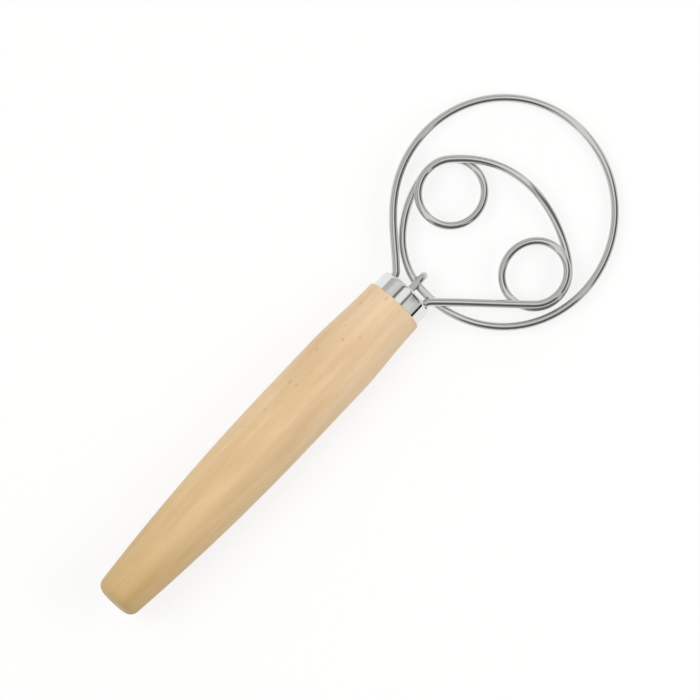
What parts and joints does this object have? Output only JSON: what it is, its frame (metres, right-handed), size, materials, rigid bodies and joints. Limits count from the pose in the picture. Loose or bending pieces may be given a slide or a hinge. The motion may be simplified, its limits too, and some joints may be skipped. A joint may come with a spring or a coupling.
{
  "type": "dough whisk",
  "caption": "Long turned wooden handle with a steel ferrule and one bent steel wire that forms a wide ring with smaller eyes inside, for mixing dough.",
  "frame": {"origin": "centre of the handle's flat butt", "axes": "+X along the handle towards the wire head, +Y in the plane of the wire loops towards the run that starts the ring, +Z normal to the loops"},
  "size_m": [0.3372, 0.1168, 0.0358],
  "materials": {
    "beech": "satin",
    "ferrule_steel": "satin",
    "wire_steel": "polished",
    "staple_steel": "polished"
  },
  "bodies": {
    "root": {"handle": "beech", "ferrule": "ferrule_steel", "whisk_wire": "wire_steel", "retaining_staple": "staple_steel"}
  },
  "joints": []
}
